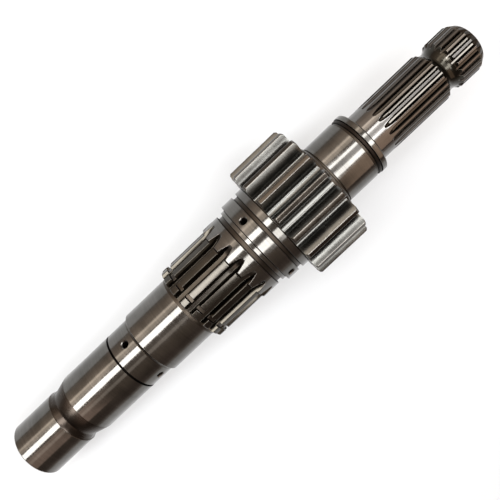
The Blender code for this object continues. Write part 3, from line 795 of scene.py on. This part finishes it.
def lace(lower, upper):
    """Triangles between two rings of unequal numbers, each a list of (angle, vertex)."""
    faces, low, high = [], 0, 0
    while low < len(lower) or high < len(upper):
        next_low = lower[(low + 1) % len(lower)][0] + 2 * math.pi * ((low + 1) // len(lower))
        next_high = upper[(high + 1) % len(upper)][0] + 2 * math.pi * ((high + 1) // len(upper))
        here, there = lower[low % len(lower)][1], upper[high % len(upper)][1]
        if high >= len(upper) or (low < len(lower) and next_low <= next_high):
            faces.append((here, lower[(low + 1) % len(lower)][1], there))
            low += 1
        else:
            faces.append((here, upper[(high + 1) % len(upper)][1], there))
            high += 1
    return faces


def by_angle(points, first):
    """(angle, vertex) pairs that start at the smallest positive angle."""
    pairs = [(angle % (2 * math.pi), first + index) for index, (_, angle) in enumerate(points)]
    return sorted(pairs)


def place_rings():
    """The vertices of all rings, and each ring's cut, points, kinds and first vertex."""
    vertices, rings = [], []
    for station, blank in stations:
        cut, points, kinds = None, [(0.0, 0.0)], None
        if blank > ON_THE_AXIS:
            cut = cut_at(station, blank)
            points, kinds = ring(cut, station, blank)
        rings.append((cut, points, kinds, len(vertices)))
        for radius, angle in points:
            vertices.append((station, radius * math.sin(angle), radius * math.cos(angle)))
    return vertices, rings


def join(stretch, lower, upper):
    """(face, finish) pairs for the stretch between two rings."""
    cut, points, kinds, first = lower
    _, next_points, next_kinds, next_first = upper
    count, next_count = len(points), len(next_points)
    if 1 in (count, next_count):
        tip, rim, size = (first, next_first, next_count) if count == 1 else (next_first, first, count)
        return [((tip, rim + here, rim + (here + 1) % size), stretch) for here in range(size)]
    if count != next_count:
        strip = lace(by_angle(points, first), by_angle(next_points, next_first))
        return [(face, stretch) for face in strip]
    pairs = []
    for here in range(count):
        there = (here + 1) % count
        both = kinds[here], next_kinds[here]
        open_gap = [kind for kind in both if kind in ("gap", "floor")]
        kind = both[0] if both[0] == both[1] else "land"
        if open_gap and stretch in CUT_BY_TEETH:
            kind = open_gap[0]
        face = first + here, first + there, next_first + there, next_first + here
        pairs.append((face, finish_of(stretch, kind, cut)))
    return pairs


def build_shaft():
    vertices, rings = place_rings()
    pairs = []
    for stretch, lower, upper in zip(stretches, rings, rings[1:]):
        pairs += join(stretch, lower, upper)
    mesh = bpy.data.meshes.new("pto_shaft_steel")
    scaled = [shaft_frame @ (Vector(vertex) * MM) for vertex in vertices]
    mesh.from_pydata(scaled, [], [face for face, _ in pairs])
    dress(mesh)
    mesh.polygons.foreach_set("material_index", [FINISHES.index(finish) for _, finish in pairs])
    bm = bmesh.new()
    bm.from_mesh(mesh)
    bmesh.ops.remove_doubles(bm, verts=bm.verts, dist=SAME_PLACE)
    bmesh.ops.recalc_face_normals(bm, faces=bm.faces)
    loose = sum(1 for edge in bm.edges if len(edge.link_faces) != 2)
    bm.to_mesh(mesh)
    bm.free()
    print("edges that aren't between two faces:", loose)
    return mesh


shaft = bpy.data.objects.new("pto_shaft_steel", build_shaft())
bpy.context.scene.collection.objects.link(shaft)
print(len(shaft.data.vertices), "vertices in the shaft")

# %% [markdown]
# ## Oil holes
#
# Each row of four holes is two drills that pass right through the axis, with a countersunk
# mouth. The countersinks are bright and the walls behind them dark. Here a Boolean is the
# right tool: the holes lie on plain cylinders, away from every tooth, and the walls of a
# hole have no rows of their own to keep.

# %% Drill the oil holes
OIL_HOLE_RADIUS, COUNTERSINK, OVERSHOOT, HOLE_POINTS = 2.25, 0.6, 0.5, 40
OIL_HOLE_ANGLE = math.radians(36.5)
HOLE_ROWS = [
    ("oil", OIL_HOLE_STATION, OIL_RADIUS),
    ("middle", MIDDLE_HOLE_STATION, MIDDLE_RADIUS),
]


def drill(name, hole_station, journal_radius, angle):
    """A drill with a cone at both mouths, as a mesh object in the shaft's own frame."""
    mouth = OIL_HOLE_RADIUS + COUNTERSINK + OVERSHOOT
    half = [(-journal_radius - OVERSHOOT, mouth), (-journal_radius + COUNTERSINK, OIL_HOLE_RADIUS)]
    path = half + [(-depth, radius) for depth, radius in reversed(half)]
    turns = [2 * math.pi * index / HOLE_POINTS for index in range(HOLE_POINTS)]
    bm = bmesh.new()
    circles = []
    for depth, radius in path:
        circle = [Vector((radius * math.cos(turn), radius * math.sin(turn), depth)) for turn in turns]
        circles.append([bm.verts.new(point * MM) for point in circle])
    for lower, upper, finish in zip(circles, circles[1:], ("edge", "drilled", "edge")):
        for here in range(HOLE_POINTS):
            there = (here + 1) % HOLE_POINTS
            face = bm.faces.new((lower[here], lower[there], upper[there], upper[here]))
            face.material_index = FINISHES.index(finish)
    bm.faces.new(reversed(circles[0]))
    bm.faces.new(circles[-1])
    bmesh.ops.recalc_face_normals(bm, faces=bm.faces)
    mesh = bpy.data.meshes.new(name)
    dress(mesh)
    bm.to_mesh(mesh)
    bm.free()
    body = bpy.data.objects.new(name, mesh)
    bpy.context.scene.collection.objects.link(body)
    along = Matrix.Translation((hole_station * MM, 0, 0)) @ Matrix.Rotation(-angle, 4, "X")
    body.matrix_world = shaft_frame @ along
    return body


def bore(body, drills):
    for tool in drills:
        cut = body.modifiers.new(tool.name, "BOOLEAN")
        cut.operation, cut.solver, cut.object = "DIFFERENCE", "EXACT", tool
    bpy.context.view_layer.update()
    graph = bpy.context.evaluated_depsgraph_get()
    drilled = bpy.data.meshes.new_from_object(body.evaluated_get(graph))
    body.modifiers.clear()
    body.data = drilled
    for tool in drills:
        bpy.data.objects.remove(tool, do_unlink=True)


drills = []
for row, hole_station, radius in HOLE_ROWS:
    for quarter in range(2):
        angle = OIL_HOLE_ANGLE + quarter * math.pi / 2
        drills.append(drill(f"{row}_drill_{quarter}", hole_station, radius, angle))
bore(shaft, drills)
print(sum(len(face.vertices) - 2 for face in shaft.data.polygons), "triangles in the drilled shaft")

# %% [markdown]
# ## Smooth faces, sharp edges
#
# Cylinders and flanks are shaded smooth, and edges over 32 degrees stay sharp. The broken
# edges are small facets beside large faces, so the Weighted Normal modifier lets the large
# faces decide: cylinders stay straight and only the edge itself looks round.

# %% Shade the shaft
SHARP_FROM, LARGE_FACE_WEIGHT = math.radians(32.0), 90

shaft.data.shade_smooth()
shaft.data.set_sharp_from_angle(angle=SHARP_FROM)
weighted = shaft.modifiers.new("large_faces_decide", "WEIGHTED_NORMAL")
weighted.mode = "FACE_AREA"
weighted.weight = LARGE_FACE_WEIGHT
weighted.keep_sharp = True
print("shaded, with", sum(edge.use_edge_sharp for edge in shaft.data.edges), "sharp edges")

# %% [markdown]
# ## The floor
#
# The floor is a plain pale table. It is lit like everything else, so it keeps the shaft's
# soft shadow, and a little light of its own makes it white for the camera and in the steel.
# Far away it fades to the tone of the walls, or else the ends of the shaft would mirror a
# wide white horizon that the photograph doesn't show.

# %% Floor
FLOOR_HALF, FLOOR_DROP = 6.0, 0.00002
WHITE_TO, WALL_FROM = 0.34, 1.3
GLOW_NEAR, GLOW_FAR = "#b3b3b3", "#c1b5ab"
PAINT_NEAR, PAINT_FAR = "#95989b", "#0d0c0b"

quarters = ((-1, -1), (1, -1), (1, 1), (-1, 1))
corners = [(x * FLOOR_HALF, y * FLOOR_HALF, -FLOOR_DROP) for x, y in quarters]
floor_mesh = bpy.data.meshes.new("pale_table")
floor_mesh.from_pydata(corners, [], [(0, 1, 2, 3)])
table_floor = bpy.data.objects.new("pale_table", floor_mesh)
bpy.context.scene.collection.objects.link(table_floor)

paint = bpy.data.materials.new("pale_table_paint")
paint.use_nodes = True
tree = paint.node_tree
tree.nodes.clear()
rays = add(tree, "ShaderNodeLightPath").outputs
seen = rays["Is Camera Ray"]
for ray in ("Is Glossy Ray", "Is Transmission Ray"):
    seen = add(tree, "ShaderNodeMath", {0: seen, 1: rays[ray]}, operation="MAXIMUM").outputs[0]
spot = add(tree, "ShaderNodeNewGeometry").outputs["Position"]
from_shaft = {0: spot, 1: (cad_low + cad_high) / 2}
away = add(tree, "ShaderNodeVectorMath", from_shaft, operation="DISTANCE").outputs["Value"]
far_off = ranged(tree, away, WHITE_TO, WALL_FROM)
own_light = blend(tree, far_off, linear(GLOW_NEAR), linear(GLOW_FAR))
paint_tone = blend(tree, far_off, linear(PAINT_NEAR), linear(PAINT_FAR))
glow = add(tree, "ShaderNodeEmission", {"Color": own_light, "Strength": seen})
matt = add(tree, "ShaderNodeBsdfDiffuse", {"Color": paint_tone})
mixed = add(tree, "ShaderNodeAddShader", {0: matt.outputs[0], 1: glow.outputs[0]})
add(tree, "ShaderNodeOutputMaterial", {"Surface": mixed.outputs[0]})
floor_mesh.materials.append(paint)
print("the floor is", 2 * FLOOR_HALF, "m wide")

# %% [markdown]
# ## Studio light
#
# Ground steel shows its surroundings as bands along the shaft, so the lamps are placed by
# the angle at which the steel sees them, counted round the axis from straight up. The camera
# is so close that each part of the shaft sees its own part of the room. That is why one long
# softbox is not enough, and the light stands in sections from left to right:
#
# - three key boxes give the white band that runs along the whole shaft
# - three side boxes give a second band, faint on the input end and bright from the clutch on
# - a small card lights the flanks of the gear
# - wide dim cards and a fill give the brown and tan bands

# %% Softboxes
LAMPS = [
    ("key_left", 21.0, 0.75, 0.68, 0.24, -0.29, 10.5, "#ffffff"),
    ("key_middle", 23.5, 0.75, 0.33, 0.165, 0.215, 10.5, "#ffffff"),
    ("key_right", 19.2, 0.75, 0.62, 0.12, 0.69, 6.6, "#ffffff"),
    ("side_left", -11.5, 0.80, 0.62, 0.15, -0.24, 0.6, "#fff4ea"),
    ("side_middle", -9.0, 0.80, 0.33, 0.26, 0.235, 8.0, "#ffffff"),
    ("side_right", -12.0, 0.80, 0.60, 0.22, 0.70, 6.6, "#ffffff"),
    ("right_end_fill", 3.0, 0.90, 0.66, 0.70, 0.76, 1.8, "#fbfbfb"),
    ("gear_card", -23.0, 0.80, 0.16, 0.14, 0.31, 5.0, "#ffffff"),
    ("left_end_card", -20.0, 0.90, 0.32, 0.80, -0.62, 0.75, "#ffdccb"),
    ("right_end_card", -48.0, 0.90, 0.70, 0.90, 0.78, 0.92, "#ffdcc0"),
    ("tan_card", 44.5, 0.85, 1.6, 0.30, 0.19, 1.25, "#fff0e0"),
    ("tan_strip", 49.0, 0.84, 1.6, 0.09, 0.19, 1.25, "#fff0e0"),
]


def softbox(name, angle, distance, length, width, station, strength, colour):
    """A long lamp, parallel to the shaft and turned towards its axis. The angle is in
    degrees, and the distance, the sizes and the station in metres."""
    lamp = bpy.data.lights.new(name, "AREA")
    lamp.shape, lamp.size, lamp.size_y = "RECTANGLE", length, width
    lamp.energy = strength * math.pi * length * width
    lamp.color = linear(colour)[:3]
    holder = bpy.data.objects.new(name, lamp)
    bpy.context.scene.collection.objects.link(holder)
    turn = math.radians(angle)
    towards = Vector((0, math.sin(turn), math.cos(turn)))
    along = Vector((1, 0, 0))
    grid = Matrix((along, towards.cross(along), towards)).transposed().to_4x4()
    grid.translation = along * station + towards * distance
    holder.matrix_world = shaft_frame @ grid


for row in LAMPS:
    softbox(*row)
print(len(LAMPS), "softboxes")

# %% [markdown]
# ### The room
#
# What the lamps leave dark mirrors the room, which is a gradient from the horizon up to
# straight overhead. It is pale and warm on one side and brown on the other, and darkest
# beyond both ends of the shaft.

# %% The room
ROOM_STRENGTH, SIDE_BLEND, ENDS_FROM, ENDS_TO = 1.25, 0.25, 0.70, 0.88
LIGHT_SIDE = [(0.0, "#b5a99f"), (0.20, "#c0ae9f"), (0.40, "#dfcbb9"), (0.60, "#e8d8c8"), (1.0, "#9d9187")]
DARK_SIDE = [(0.0, "#a89e96"), (0.12, "#7a6c64"), (0.35, "#70625a"), (0.80, "#8b7c6f"), (1.0, "#9d9187")]
BOTH_ENDS = [(0.0, "#a89e96"), (0.12, "#5c4f48"), (0.35, "#443a35"), (0.60, "#3c332e"), (1.0, "#9d9187")]

room = bpy.data.worlds.new("studio_room")
bpy.context.scene.world = room
room.use_nodes = True
tree = room.node_tree
tree.nodes.clear()
direction = add(tree, "ShaderNodeTexCoord").outputs["Generated"]
axes = add(tree, "ShaderNodeSeparateXYZ", {"Vector": direction}).outputs


def wall(stops):
    """Colours of the room from the horizon (0) up to straight overhead (1)."""
    shade = add(tree, "ShaderNodeValToRGB", {"Fac": axes["Z"]})
    bands = shade.color_ramp
    bands.elements[0].position, bands.elements[0].color = stops[0][0], linear(stops[0][1])
    bands.elements[1].position, bands.elements[1].color = stops[-1][0], linear(stops[-1][1])
    for position, colour in stops[1:-1]:
        bands.elements.new(position).color = linear(colour)
    return shade.outputs["Color"]


side = ranged(tree, axes["Y"], -SIDE_BLEND, SIDE_BLEND)
sides = blend(tree, side, wall(DARK_SIDE), wall(LIGHT_SIDE))
sideways = add(tree, "ShaderNodeMath", {0: axes["X"]}, operation="ABSOLUTE").outputs[0]
end_on = ranged(tree, sideways, ENDS_FROM, ENDS_TO)
shade = blend(tree, end_on, sides, wall(BOTH_ENDS))
back = add(tree, "ShaderNodeBackground", {"Color": shade, "Strength": ROOM_STRENGTH})
add(tree, "ShaderNodeOutputWorld", {"Surface": back.outputs[0]})
print("room of three gradients, strength", ROOM_STRENGTH)

# %% [markdown]
# ## The camera
#
# The photograph was taken from close above the shaft, 324 mm from its axis, with a lens that
# sees 53 degrees. The camera is placed in the shaft's own frame: how far along the axis it
# looks, how far round the axis it stands, and how the picture is turned.

# %% Camera
FOOT_STATION, FOOT_ANGLE = 0.2070, math.radians(9.33)
FOOT_IN_VIEW = Vector((0.014497, -0.000895, 0.323348))
AXIS_IN_VIEW = Vector((0.998996, 0.00104, -0.044786)).normalized()
PICTURE_ALONG = Vector((0.72590825, 0.68779154))
PICTURE_ACROSS = Vector((0.68779154, -0.72590825))

inwards = FOOT_IN_VIEW.normalized()
across = -AXIS_IN_VIEW.cross(inwards)
axis_own = Vector((1, 0, 0))
inwards_own = -Vector((0, math.sin(FOOT_ANGLE), math.cos(FOOT_ANGLE)))
across_own = Vector((0, -math.cos(FOOT_ANGLE), math.sin(FOOT_ANGLE)))


def own_axis(index):
    """One axis of the turned picture, in the shaft's own frame."""
    return AXIS_IN_VIEW[index] * axis_own + inwards[index] * inwards_own + across[index] * across_own


right = (PICTURE_ALONG.x * own_axis(0) + PICTURE_ALONG.y * own_axis(1)).normalized()
up = (PICTURE_ACROSS.x * own_axis(0) + PICTURE_ACROSS.y * own_axis(1)).normalized()
backwards = -own_axis(2).normalized()
pose = Matrix((right, up, backwards)).transposed().to_4x4()
pose.translation = Vector((FOOT_STATION, 0, 0)) - inwards_own * FOOT_IN_VIEW.length

lens = bpy.data.cameras.new("close_camera")
lens.lens, lens.sensor_width, lens.clip_start = 36.0, 36.0, 0.01
camera = bpy.data.objects.new("close_camera", lens)
bpy.context.scene.collection.objects.link(camera)
camera.matrix_world = shaft_frame @ pose
bpy.context.scene.camera = camera
bpy.context.scene.view_settings.view_transform = "Standard"
print("camera stands", round(camera.location.z * 1000), "mm above the floor")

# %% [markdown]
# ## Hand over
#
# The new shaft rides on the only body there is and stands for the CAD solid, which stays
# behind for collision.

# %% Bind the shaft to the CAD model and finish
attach(shaft, "root")
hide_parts("pto_shaft")
